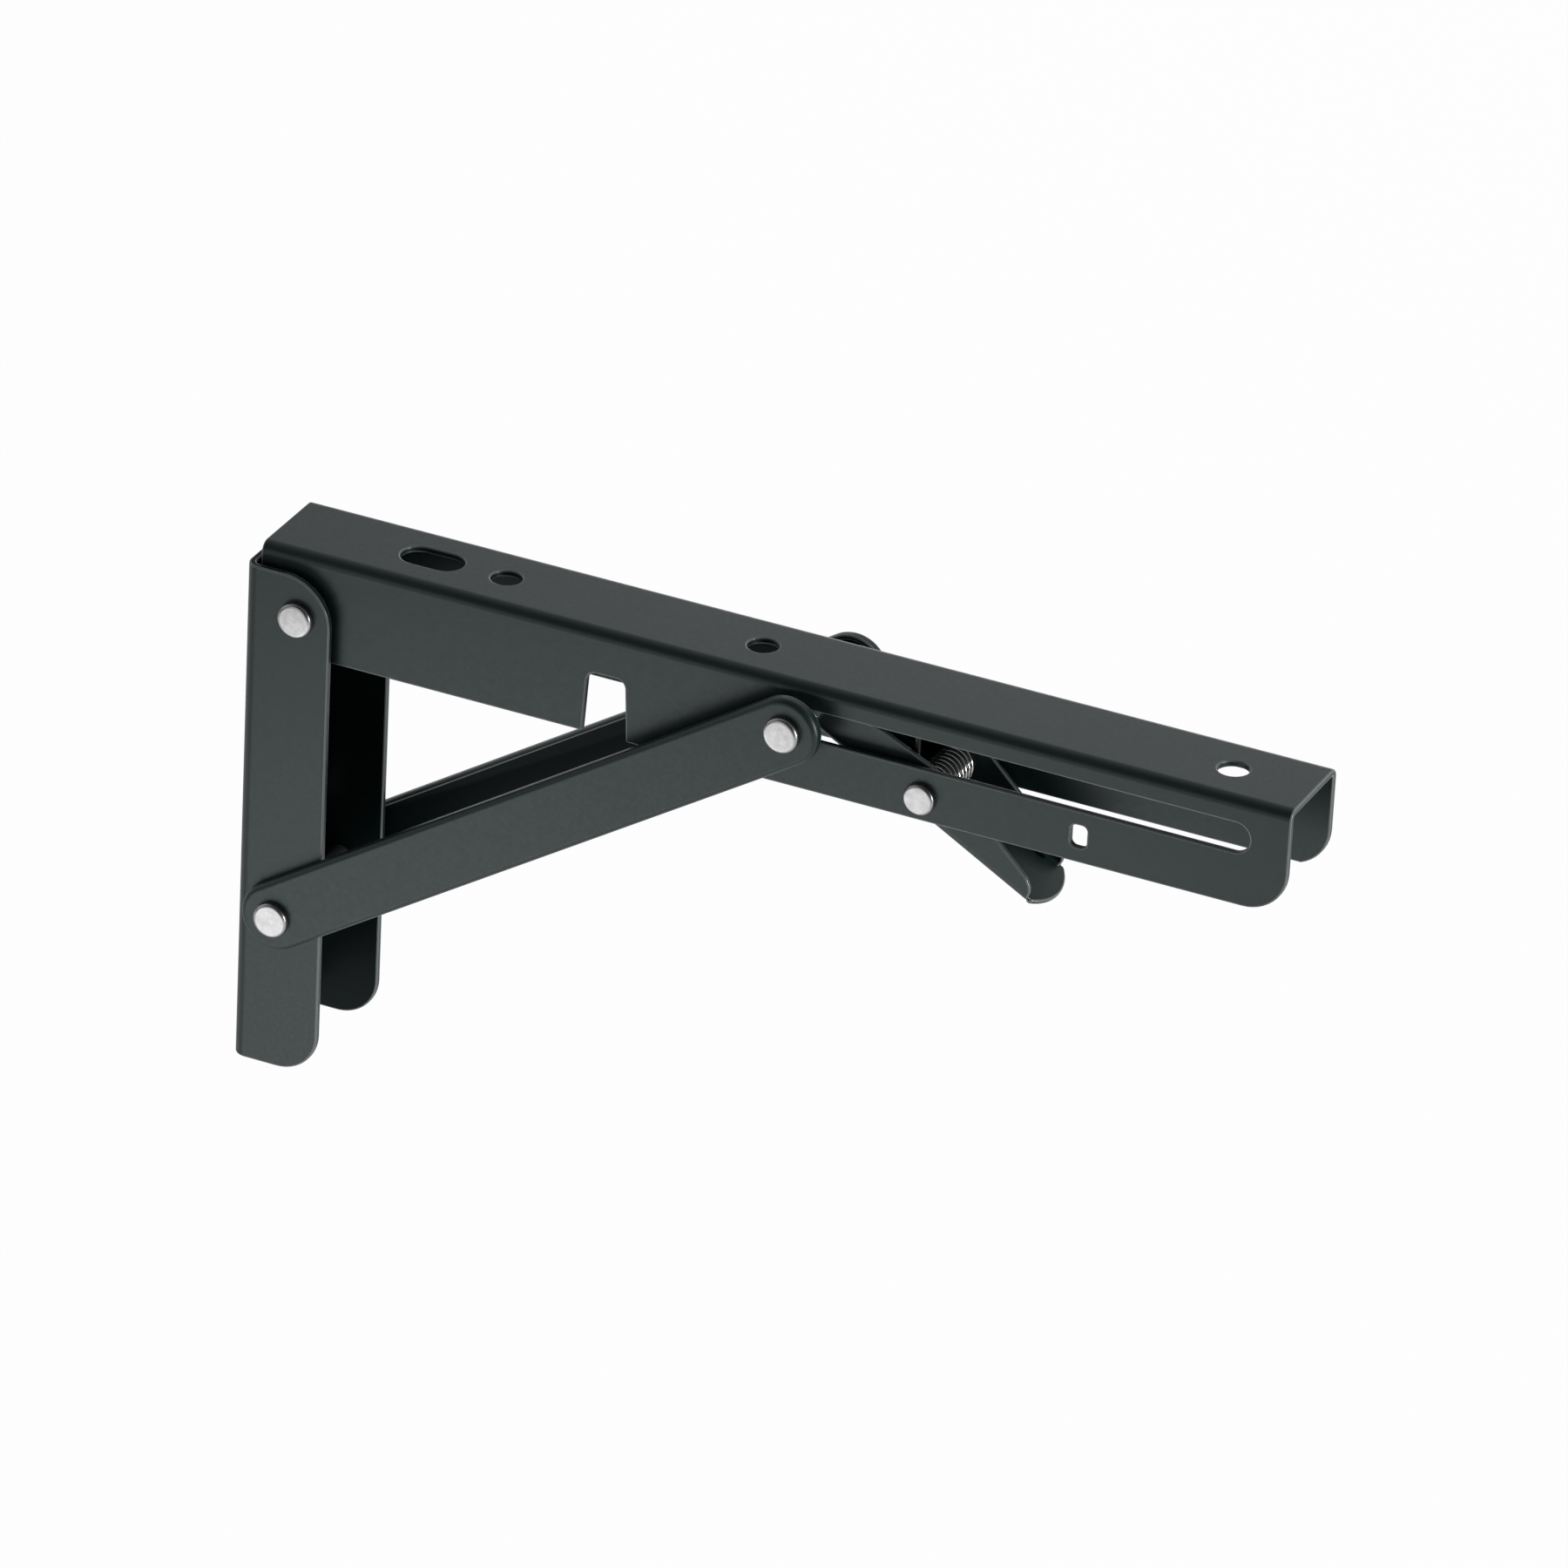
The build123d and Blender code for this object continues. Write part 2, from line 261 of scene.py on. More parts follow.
COAT_MATERIAL = powder_coat("powder_coat", COAT, COAT_DRIFT, COAT_SHINE)
# The second coat is painted shade for the hollows.
PAINTED_SHADE_COAT_MATERIAL = powder_coat("powder_coat_painted_shade", PAINTED_SHADE_COAT, PAINTED_SHADE_COAT, PAINTED_SHADE_COAT_SHINE)
print("each coat is made of", len(COAT_MATERIAL.node_tree.nodes), "nodes")

# %% [markdown]
# ## Bright zinc, dull zinc and spring wire
# The rivet heads are pressed flat in a die and plated, so they are pale and a little mottled.
# Washers, bushes and sleeves are cut from plated stock and are duller. The spring wire is drawn and
# shines in thin lines. What sits deep inside the arm lies in shade, and that shade is painted into
# a nearly black steel.
# Each could have nodes of its own, but they differ only in numbers. So one function takes the two
# greys, the range of roughness and the size of the mottle.

# %% A mottled metal
SCRATCH_SIZE = 0.35 * MM
SCRATCH_BUMP = 0.6


def metal(name, pale, dark, roughness, mottle, scratch_depth=0.004 * MM):
    """Metal mottled between two greys and between two roughnesses, with fine scratches."""
    material, shader = new_material(name, Metallic=1.0)
    tree = material.node_tree
    where = object_place(tree)
    patches = noise(tree, where, mottle, detail=4.0, roughness=0.6)
    scratches = noise(tree, where, SCRATCH_SIZE, detail=3.0)
    colour = two_tone(tree, spread(tree, patches, 0, 1), pale, dark)
    feed(tree, shader.inputs["Base Color"], colour)
    feed(tree, shader.inputs["Roughness"], spread(tree, patches, *roughness))
    feed(tree, shader.inputs["Normal"], bump(tree, scratches, scratch_depth, SCRATCH_BUMP))
    return material


print("scratches", round(SCRATCH_SIZE / MM, 2), "mm across")

# %% The four metals
MOTTLE_SIZE = 1.6 * MM
WIRE_MOTTLE_SIZE = 2.5 * MM
RIVET_MATERIAL = metal("rivet_zinc", (0.46, 0.46, 0.46, 1), (0.40, 0.40, 0.40, 1),
                       (0.24, 0.32), MOTTLE_SIZE, scratch_depth=0.002 * MM)
WASHER_MATERIAL = metal("washer_zinc", (0.62, 0.62, 0.61, 1), (0.48, 0.48, 0.47, 1),
                        (0.32, 0.46), MOTTLE_SIZE)
SPRING_MATERIAL = metal("spring_wire", (0.48, 0.48, 0.47, 1), (0.32, 0.32, 0.31, 1),
                        (0.14, 0.22), WIRE_MOTTLE_SIZE)
# Nearly black steel: painted shade for parts deep inside the arm.
SHADE_STEEL_MATERIAL = metal("steel_painted_shade", (0.055, 0.055, 0.055, 1), (0.03, 0.03, 0.03, 1),
                       (0.38, 0.50), WIRE_MOTTLE_SIZE)
METALS = (RIVET_MATERIAL, WASHER_MATERIAL, SPRING_MATERIAL, SHADE_STEEL_MATERIAL)
print("metals:", [made_metal.name for made_metal in METALS])

# %% [markdown]
# ## Sheet pieces with rounded edges
# A laser-cut or punched edge is square in the CAD model. On the real bracket the coat rounds it,
# and that radius catches the light in a thin pale line along each edge, hole and slot; the coat
# also paints a pale highlight on it.
# A Bevel modifier could round it, but it would take inner corners as well, and it can't write the
# attribute that the coat reads. So a copy of the CAD mesh is merged, its flat faces are joined
# into single ones, and its square outer edges are bevelled and marked. The nearly smooth steps of
# the bends stay, because their angle is small. The original is never changed: the copy stands
# for it.

# %% Round the square edges
MERGE_DISTANCE = 0.002 * MM
FLAT_ANGLE = math.radians(0.5)
SQUARE_ANGLE = math.radians(50)


def is_square(edge):
    """Whether two faces meet here in an outer corner."""
    return len(edge.link_faces) == 2 and edge.is_convex and edge.calc_face_angle(0) > SQUARE_ANGLE


def round_square_edges(shape, edge_round, steps):
    """Rounds the square edges of a shape, and marks the new faces with the attribute `edge`."""
    bmesh.ops.remove_doubles(shape, verts=shape.verts, dist=MERGE_DISTANCE)
    bmesh.ops.dissolve_limit(shape, angle_limit=FLAT_ANGLE, verts=shape.verts, edges=shape.edges)
    edges = [edge for edge in shape.edges if is_square(edge)]
    on_edge = shape.faces.layers.float.new("edge")
    made = bmesh.ops.bevel(shape, geom=edges, offset=edge_round, segments=steps, profile=0.5,
                           affect="EDGES", clamp_overlap=False)
    # These faces carry the painted edge highlight.
    for face in made["faces"]:
        face[on_edge] = 1.0
    bmesh.ops.remove_doubles(shape, verts=shape.verts, dist=MERGE_DISTANCE)


print("an edge is square from", round(math.degrees(SQUARE_ANGLE)), "degrees")

# %% A finished copy of a CAD piece
FLAT_FACE_WEIGHT = 80


def finished_copy(node, material, slot, edge_round, steps=3):
    """A copy of a CAD piece with its square edges rounded, riding in its place."""
    mesh = nodes[node].data.copy()
    shape = bmesh.new()
    shape.from_mesh(mesh)
    round_square_edges(shape, edge_round, steps)
    for face in shape.faces:
        face.smooth = True
        face.material_index = 0
    shape.to_mesh(mesh)
    shape.free()
    mesh.materials.clear()
    mesh.materials.append(material)
    piece = bpy.data.objects.new(node + "_finished", mesh)
    bpy.context.scene.collection.objects.link(piece)
    normals = piece.modifiers.new("flat_faces_stay_flat", "WEIGHTED_NORMAL")
    normals.weight = FLAT_FACE_WEIGHT
    normals.keep_sharp = True
    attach(piece, body_of_node[node])
    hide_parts(node)
    return piece


print("piece helper:", finished_copy.__name__)

# %% [markdown]
# ## Painted shade inside
# Inside the wall plate's channel and the straps' hollows the shade is painted in: those faces get a
# matt, nearly black coat. A mask could be painted there, but the faces tell by their places where
# they are. In the channel they lie further in than the sheet is thick. In a strap they are the
# hollow's floor, or walls that look at another wall: a short ray is sent out from the middle of a
# face, and a BVH tree says quickly whether it meets one.

# %% The wall plate's channel
SHEET = 2.0 * MM
HAIR = 0.05 * MM


def paint_shade_in_channel(piece):
    """Gives the inside of a channel that opens to +X the coat with painted shade."""
    mesh = piece.data
    mesh.materials.append(PAINTED_SHADE_COAT_MATERIAL)
    half_inside = max(corner.co.y for corner in mesh.vertices) - SHEET + HAIR
    # Faces inside the channel get the painted shade.
    for face in mesh.polygons:
        if abs(face.center.y) < half_inside and face.center.x > SHEET - HAIR:
            face.material_index = 1


print("sheet of", round(SHEET / MM, 1), "mm round the channel")

# %% The hollow of a strap
STRAP_SHEET = 1.5 * MM
WALL_TILT, FLOOR_TILT = 0.5, 0.9


def paint_shade_in_pan(piece):
    """Paints shade into a pressed strap's hollow: its floor, and walls that face a wall."""
    mesh = piece.data
    mesh.materials.append(PAINTED_SHADE_COAT_MATERIAL)
    shell = BVHTree.FromPolygons([corner.co for corner in mesh.vertices],
                                 [tuple(face.vertices) for face in mesh.polygons])
    floor_y = max(abs(corner.co.y) for corner in mesh.vertices) - STRAP_SHEET - HAIR
    # The hollow's floor, and walls whose ray meets another wall, get the painted shade.
    for face in mesh.polygons:
        inward = -face.normal.y if face.center.y > 0 else face.normal.y
        if abs(inward) < WALL_TILT:
            seen_wall = shell.ray_cast(face.center + face.normal * HAIR, face.normal)[0]
            face.material_index = 0 if seen_wall is None else 1
        elif inward > FLOOR_TILT and abs(face.center.y) > floor_y:
            face.material_index = 1


print("sheet of", round(STRAP_SHEET / MM, 1), "mm round the hollow")

# %% [markdown]
# ## The coated sheet pieces
# The wall plate and the arm are folded channels, the lever is one folded sheet, and the straps are
# pressed. Each could be bevelled by its own numbers, but one bake coats them all alike, so they get
# the same half millimetre. Beside each name stands what paints shade into its inside, if anything.

# %% Round the edges of the coated sheet
EDGE_ROUND = 0.5 * MM
COATED = {"wall_plate": paint_shade_in_channel, "shelf_arm": None, "release_lever": None,
          "brace_strap_left": paint_shade_in_pan, "brace_strap_right": paint_shade_in_pan}
for node, paint_shade_inside in COATED.items():
    piece = finished_copy(node, COAT_MATERIAL, "powder_coat", EDGE_ROUND)
    # Shade is painted into the inside of the wall plate and the straps.
    if paint_shade_inside:
        paint_shade_inside(piece)
    print(piece.name, len(piece.data.polygons), "faces")

# %% [markdown]
# ## Washers, bushes, sleeves and the pin
# These are turned or punched and only lightly deburred. They could be made anew as turned
# profiles, but the CAD pieces are right but for their edges, so the same function gives them a
# much smaller radius and the dull zinc.

# %% Round the small turned parts
DEBURR = 0.15 * MM
SMALL = ["hinge_washer_", "lever_washer_", "brace_washer_", "slide_bush_"]
small_nodes = [stem + side for stem in SMALL for side in ("left", "right")]
small_nodes += ["brace_pivot_sleeve", "spring_sleeve"]
for node in small_nodes:
    finished_copy(node, WASHER_MATERIAL, "washer_zinc", DEBURR, steps=2)
finished_copy("brace_pivot_pin", RIVET_MATERIAL, "rivet_zinc", DEBURR, steps=2)
print("small parts rounded:", len(small_nodes) + 1)

# %% [markdown]
# ## Rivets by rule
# All rivets have one form: a round shank, and a low head with a flat face and a rolled rim. Each
# could be turned with Spin, but only their sizes differ, so Geometry Nodes make them from one
# tree with named inputs. The tree is given one edge for each rivet, sweeps a round shank along
# it, and puts a head at each end that asks for one.
# The head follows a profile, from the middle of its face out over the rim and back underneath.
# Each point of it is a share of the head's radius and a share of its height.

# %% The head's profile
HEAD_PROFILE = (
    (0.00, 1.000), (0.78, 1.000), (0.82, 0.996), (0.87, 0.970), (0.92, 0.915), (0.96, 0.825),
    (0.985, 0.710), (1.00, 0.550), (1.00, 0.280), (1.00, 0.080), (0.975, 0.000), (0.60, 0.000),
    (0.00, 0.000))
print("profile steps:", len(HEAD_PROFILE) - 1)

# %% [markdown]
# ### Parts that trees share
# Rivets and spring are both round metal along a line, so both trees are put together from the
# same few parts: named inputs, a point on a circle, a swept rod, and an end that makes instances
# real and sets the metal, because the export keeps no instances. A node group could hold each
# part as well, but a function is shorter and needs no sockets of its own.


# %% Start a tree
def new_tree(name, inputs):
    """A Geometry Nodes tree, the outputs of its input node, and the socket for its result."""
    tree = bpy.data.node_groups.new(name, "GeometryNodeTree")
    tree.interface.new_socket("Geometry", in_out="INPUT", socket_type="NodeSocketGeometry")
    for socket, kind in inputs:
        tree.interface.new_socket(socket, in_out="INPUT", socket_type="NodeSocket" + kind)
    tree.interface.new_socket("Geometry", in_out="OUTPUT", socket_type="NodeSocketGeometry")
    given = tree.nodes.new("NodeGroupInput").outputs
    return tree, given, tree.nodes.new("NodeGroupOutput").inputs["Geometry"]


def vector(tree, x, y, z):
    """One vector from three numbers or sockets."""
    return add_node(tree, "ShaderNodeCombineXYZ", {"X": x, "Y": y, "Z": z}).outputs["Vector"]


def on_circle(tree, radius, angle):
    """The two coordinates of a point on a circle: by the angle's cosine, and by its sine."""
    return [math_node(tree, "MULTIPLY", radius, math_node(tree, operation, angle))
            for operation in ("COSINE", "SINE")]


print("tree helpers:", new_tree.__name__, vector.__name__, on_circle.__name__)


# %% Sweep, join and end a tree
def rod(tree, line, radius, steps):
    """A round rod with flat ends, swept along a line."""
    circle = add_node(tree, "GeometryNodeCurvePrimitiveCircle",
                      {"Resolution": steps, "Radius": radius}).outputs["Curve"]
    return add_node(tree, "GeometryNodeCurveToMesh", {
        "Curve": line, "Profile Curve": circle, "Fill Caps": True}).outputs["Mesh"]


def joined(tree, *shapes):
    """All the shapes as one."""
    join = tree.nodes.new("GeometryNodeJoinGeometry")
    for shape in shapes:
        tree.links.new(shape, join.inputs["Geometry"])
    return join.outputs["Geometry"]


def in_metal(tree, shape, metal_of_it):
    """The shape made real and smooth, in one metal."""
    real = add_node(tree, "GeometryNodeRealizeInstances", {"Geometry": shape})
    smooth = add_node(tree, "GeometryNodeSetShadeSmooth", {"Geometry": real.outputs["Geometry"]})
    return add_node(tree, "GeometryNodeSetMaterial", {
        "Geometry": smooth.outputs["Geometry"], "Material": metal_of_it}).outputs["Geometry"]


print("sweep helpers:", rod.__name__, joined.__name__, in_metal.__name__)

# %% [markdown]
# ### The rivet's head
# The head is a grid that is wrapped round: one way of the grid becomes the angle, and the other
# runs along the profile. The profile could be swept round a circle as well, but it would have to
# be drawn as a curve first. Here two Float Curve nodes hold it as shares, and the radius and the
# height are only multiplied in.


# %% The profile as a node
def profile_node(tree, share, values):
    """A Float Curve that passes straight through evenly spaced values."""
    node = add_node(tree, "ShaderNodeFloatCurve", {"Value": share})
    curve = node.mapping.curves[0]
    last = len(values) - 1
    curve.points[0].location = (0, values[0])
    curve.points[1].location = (1, values[last])
    for index in range(1, last):
        curve.points.new(index / last, values[index])
    for point in curve.points:
        point.handle_type = "VECTOR"
    node.mapping.update()
    return node.outputs["Value"]


print("profile helper:", profile_node.__name__)

# %% The wrapped head
ROUND_STEPS = 72


def wrapped_head(tree, head_radius, head_height):
    """A closed head that stands on the origin and faces +Z."""
    grid = add_node(tree, "GeometryNodeMeshGrid", {
        "Size X": 1.0, "Size Y": 1.0, "Vertices X": ROUND_STEPS + 1,
        "Vertices Y": len(HEAD_PROFILE)})
    position = tree.nodes.new("GeometryNodeInputPosition").outputs["Position"]
    flat = add_node(tree, "ShaderNodeSeparateXYZ", {"Vector": position})
    angle = math_node(tree, "MULTIPLY", flat.outputs["X"], math.tau)
    share = math_node(tree, "ADD", flat.outputs["Y"], 0.5)
    out, up = (profile_node(tree, share, values) for values in zip(*HEAD_PROFILE))
    x, y = on_circle(tree, math_node(tree, "MULTIPLY", out, head_radius), angle)
    wrapped = vector(tree, x, y, math_node(tree, "MULTIPLY", up, head_height))
    head = add_node(tree, "GeometryNodeSetPosition", {
        "Geometry": grid.outputs["Mesh"], "Position": wrapped})
    return add_node(tree, "GeometryNodeMergeByDistance", {
        "Geometry": head.outputs["Geometry"], "Distance": MERGE_DISTANCE}).outputs["Geometry"]


print("a head has", ROUND_STEPS, "steps round")

# %% [markdown]
# ### The rivet tree
# Where a head goes is asked of each end of the edge: the attribute `headed` says whether it gets
# one, and `outward` which way the head faces. Two trees could do for rivets with one head and
# with two, but an attribute on the points keeps it one.


# %% The rivet tree
def heads_on_ends(tree, ends, head):
    """The head on each end that asks for one, turned to face outward."""
    headed = add_node(tree, "GeometryNodeInputNamedAttribute", {"Name": "headed"},
                      data_type="BOOLEAN")
    outward = add_node(tree, "GeometryNodeInputNamedAttribute", {"Name": "outward"},
                       data_type="FLOAT_VECTOR")
    turn = add_node(tree, "FunctionNodeAlignRotationToVector",
                    {"Vector": outward.outputs["Attribute"]}, axis="Z")
    return add_node(tree, "GeometryNodeInstanceOnPoints", {
        "Points": ends, "Selection": headed.outputs["Attribute"], "Instance": head,
        "Rotation": turn.outputs["Rotation"]}).outputs["Instances"]


def rivet_tree():
    """A round shank along each given edge, and a head at each of its ends that asks for one."""
    inputs = (("Shank radius", "Float"), ("Head radius", "Float"), ("Head height", "Float"),
              ("Metal", "Material"))
    tree, given, result = new_tree("rivet", inputs)
    edges = given["Geometry"]
    lines = add_node(tree, "GeometryNodeMeshToCurve", {"Mesh": edges}).outputs["Curve"]
    shank = rod(tree, lines, given["Shank radius"], ROUND_STEPS)
    head = wrapped_head(tree, given["Head radius"], given["Head height"])
    whole = joined(tree, shank, heads_on_ends(tree, edges, head))
    feed(tree, result, in_metal(tree, whole, given["Metal"]))
    return tree


RIVET_TREE = rivet_tree()
print("rivet tree:", len(RIVET_TREE.nodes), "nodes")

# %% [markdown]
# ### From a tree to a plain piece
# A modifier's inputs are set by their identifiers, before it is first evaluated. The piece could
# keep the modifier, but it has to ride on a body and be exported, so the result is taken as a
# plain mesh. The grid's edges and the rod's ends are merged, and all faces are turned to face
# out.


# %% Run a tree
def tree_result(mesh, tree, values):
    """The mesh that a tree makes from another. The modifier goes away with its object."""
    source = bpy.data.objects.new(tree.name + "_source", mesh)
    bpy.context.scene.collection.objects.link(source)
    modifier = source.modifiers.new("rule", "NODES")
    modifier.node_group = tree
    sockets = {item.name: item.identifier for item in tree.interface.items_tree
               if item.in_out == "INPUT"}
    for socket, value in values.items():
        modifier[sockets[socket]] = value
    evaluated = source.evaluated_get(bpy.context.evaluated_depsgraph_get())
    made = bpy.data.meshes.new_from_object(evaluated)
    bpy.data.objects.remove(source)
    return made


def closed_piece(name, mesh):
    """An object of a mesh whose doubles are merged and whose faces point outwards."""
    shape = bmesh.new()
    shape.from_mesh(mesh)
    bmesh.ops.remove_doubles(shape, verts=shape.verts, dist=MERGE_DISTANCE)
    bmesh.ops.recalc_face_normals(shape, faces=shape.faces)
    shape.to_mesh(mesh)
    shape.free()
    piece = bpy.data.objects.new(name, mesh)
    bpy.context.scene.collection.objects.link(piece)
    return piece


print("result helpers:", tree_result.__name__, closed_piece.__name__)

# %% [markdown]
# ### Rivets in their places
# The hinge rivet and the lever rivet go right through and have two heads. Each strap's own rivet
# has its head on the strap's outer face. The places could be written down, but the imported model
# knows them: a rivet's axis is the middle of its box, and its heads seat on the piece that they
# clamp. Each rivet is one edge, with its two ends at the seats.


# %% The edge that a rivet grows on
def rivet_edge(name, first, second, one_sided):
    """One edge between two seats. The second always has a head, and the first may have one."""
    mesh = bpy.data.meshes.new(name)
    mesh.from_pydata([first, second], [(0, 1)], [])
    headed = mesh.attributes.new("headed", "BOOLEAN", "POINT")
    headed.data.foreach_set("value", [not one_sided, True])
    outward = mesh.attributes.new("outward", "FLOAT_VECTOR", "POINT")
    away = (second - first).normalized()
    outward.data.foreach_set("vector", [*(-away), *away])
    return mesh


print("edge helper:", rivet_edge.__name__)


# %% One rivet in its place
def rivet(name, node, seats, head_radius, head_height, shank_radius, one_sided=False,
          metal_of_it=RIVET_MATERIAL):
    """seats are the two Y values between which the shank runs; the second always has a head."""
    low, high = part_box(node)
    middle = (low + high) / 2
    ends = [Vector((middle.x, seat, middle.z)) for seat in seats]
    values = {"Shank radius": shank_radius, "Head radius": head_radius, "Head height": head_height,
              "Metal": metal_of_it}
    made = tree_result(rivet_edge(name, *ends, one_sided), RIVET_TREE, values)
    piece = closed_piece(name, made)
    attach(piece, body_of_node[node])
    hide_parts(node)
    return piece


print("rivet helper:", rivet.__name__)

# %% Rivets that stay in their seats
BIG_RIVET = {"head_radius": 5.0 * MM, "head_height": 2.1 * MM, "shank_radius": 3.0 * MM}
LEVER_RIVET = {"head_radius": 4.4 * MM, "head_height": 1.9 * MM, "shank_radius": 2.5 * MM}
SIDES = (("left", -1), ("right", 1))
plate_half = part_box("wall_plate")[1].y
arm_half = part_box("shelf_arm")[1].y
strap_back, strap_face = (corner.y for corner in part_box("brace_strap_right"))
rivet("hinge_rivet_made", "hinge_rivet", (-plate_half, plate_half), **BIG_RIVET)
rivet("lever_rivet_made", "lever_rivet", (-arm_half, arm_half), **LEVER_RIVET)
for side, sign in SIDES:
    rivet("brace_rivet_made_" + side, "brace_rivet_" + side, (sign * strap_back, sign * strap_face),
          one_sided=True, **BIG_RIVET)
print("rivet heads at", [round(seat / MM, 2) for seat in (plate_half, arm_half, strap_face)])

# %% [markdown]
# ### Slide rivets
# The rivet that slides in the arm has its outer head on the strap, and inside the arm a thin
# clinched plate holds it. It could have a tree of its own, but it is no more than two rivets end to
# end. So it is made as two of the same tree, joined into one piece, and the plate, which lies in
# shade inside the arm, is painted nearly black as shade.

# %% Slide rivets
CLINCH_PLATE_HEIGHT = 1.0 * MM


def slide_rivet(side, sign):
    """A headed rivet and a clinched plate as one piece; sign is the side of the arm it is on."""
    node = "slide_rivet_" + side
    low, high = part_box(node)
    seat = (low.y if sign > 0 else high.y) + sign * CLINCH_PLATE_HEIGHT
    outer = rivet("slide_rivet_made_" + side, node, (seat, sign * strap_face), one_sided=True,
                  **BIG_RIVET)
    # The clinched plate inside the arm gets the steel with painted shade.
    inner = rivet("slide_plate_made_" + side, node, (seat + sign * CLINCH_PLATE_HEIGHT, seat),
                  (high.x - low.x) / 2, CLINCH_PLATE_HEIGHT, BIG_RIVET["shank_radius"],
                  one_sided=True, metal_of_it=SHADE_STEEL_MATERIAL)
    for face in inner.data.polygons:
        face.material_index = 1
    outer.data.materials.append(SHADE_STEEL_MATERIAL)
    both = bmesh.new()
    both.from_mesh(outer.data)
    both.from_mesh(inner.data)
    both.to_mesh(outer.data)
    both.free()
    bpy.data.objects.remove(inner)
    return outer


for side, sign in SIDES:
    print(slide_rivet(side, sign).name)

# %% [markdown]
# ## The torsion spring
# The spring pushes the lever down until its nose locks the slide. It is wound from round wire
# with a leg at each end: one rests under the arm's top, and the other lies in the lever. Its
# coil goes round the sleeve on the lever rivet, so the sleeve's box gives its axis and its
# radius. The number of turns could be guessed, but it is what fits the spring's own box.

# %% Spring sizes
WIRE_RADIUS = 0.9 * MM
SPRING_PITCH = 1.95 * MM
SLEEVE_GAP = 0.3 * MM
LEVER_SLOPE = math.radians(29)
spring_low, spring_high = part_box("torsion_spring")
sleeve_low, sleeve_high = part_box("spring_sleeve")
spring_axis = (sleeve_low + sleeve_high) / 2
sleeve_radius = (sleeve_high.x - sleeve_low.x) / 2
coil_radius = sleeve_radius + SLEEVE_GAP + WIRE_RADIUS
part_turn = (math.pi / 2 - LEVER_SLOPE) / math.tau
full_turns = round((spring_high.y - spring_low.y - 2 * WIRE_RADIUS) / SPRING_PITCH - part_turn)
coil_turns = full_turns + part_turn
coil_length = coil_turns * SPRING_PITCH
print("coil", round(coil_turns, 2), "turns,", round(coil_length / MM, 1), "mm long")

# %% [markdown]
# ### The spring tree
# A wound wire is a rule too. A Screw modifier could wind it, but the legs would have to be made and
# fitted apart from it. So a straight line is cut into many points, and each point is set on the
# coil by how far along the line it lies. Two short lines are the legs, and all three are swept as
# rods. The leg under the arm's top lies in shade, so it has a metal of its own, painted nearly
# black as shade.

# %% A line wound into a coil
COIL_POINTS = 320


def coil_line(tree, radius, length, turns):
    """A line of many points wound round the Y axis, with its middle at the origin."""
    line = tree.nodes.new("GeometryNodeCurvePrimitiveLine").outputs["Curve"]
    cut = add_node(tree, "GeometryNodeResampleCurve", {"Curve": line, "Count": COIL_POINTS})
    along = tree.nodes.new("GeometryNodeSplineParameter").outputs["Factor"]
    angle = math_node(tree, "MULTIPLY", math_node(tree, "MULTIPLY", along, turns), math.tau)
    x, z = on_circle(tree, radius, angle)
    y = math_node(tree, "MULTIPLY", math_node(tree, "SUBTRACT", along, 0.5), length)
    return add_node(tree, "GeometryNodeSetPosition", {
        "Geometry": cut.outputs["Curve"], "Position": vector(tree, x, y, z)}).outputs["Geometry"]


print("a coil has", COIL_POINTS, "points")

# %% The spring tree
WIRE_STEPS = 20


def straight_line(tree, start, end):
    """A line from one point to another."""
    return add_node(tree, "GeometryNodeCurvePrimitiveLine",
                    {"Start": start, "End": end}).outputs["Curve"]


def spring_tree():
    """A coil and two straight legs of round wire; the first leg has a metal of its own."""
    inputs = (("Coil radius", "Float"), ("Coil length", "Float"), ("Turns", "Float"),
              ("Wire radius", "Float"), ("First leg end", "Vector"), ("Last leg start", "Vector"),
              ("Last leg end", "Vector"), ("Metal", "Material"), ("First leg metal", "Material"))
    tree, given, result = new_tree("torsion_spring", inputs)
    start_x = math_node(tree, "MULTIPLY", given["Coil radius"], -1.0)
    start_y = math_node(tree, "MULTIPLY", given["Coil length"], -0.5)
    coil = coil_line(tree, start_x, given["Coil length"], given["Turns"])
    first_leg = straight_line(tree, vector(tree, start_x, start_y, 0.0), given["First leg end"])
    last_leg = straight_line(tree, given["Last leg start"], given["Last leg end"])
    lines = ((joined(tree, coil, last_leg), given["Metal"]), (first_leg, given["First leg metal"]))
    wires = [in_metal(tree, rod(tree, line, given["Wire radius"], WIRE_STEPS), metal_of_it)
             for line, metal_of_it in lines]
    feed(tree, result, joined(tree, *wires))
    return tree


SPRING_TREE = spring_tree()
print("spring tree:", len(SPRING_TREE.nodes), "nodes")

# %% [markdown]
# ### Wind the spring
# The coil begins on the wall's side of its axis, where one leg stands straight up to the arm's top.
# It ends where the wire leaves it along the slope of the lever's web. Both legs are as long as the
# spring's box allows. When the lever is pressed, the coil winds up; a spring riding on the arm
# alone would leave its last leg behind.

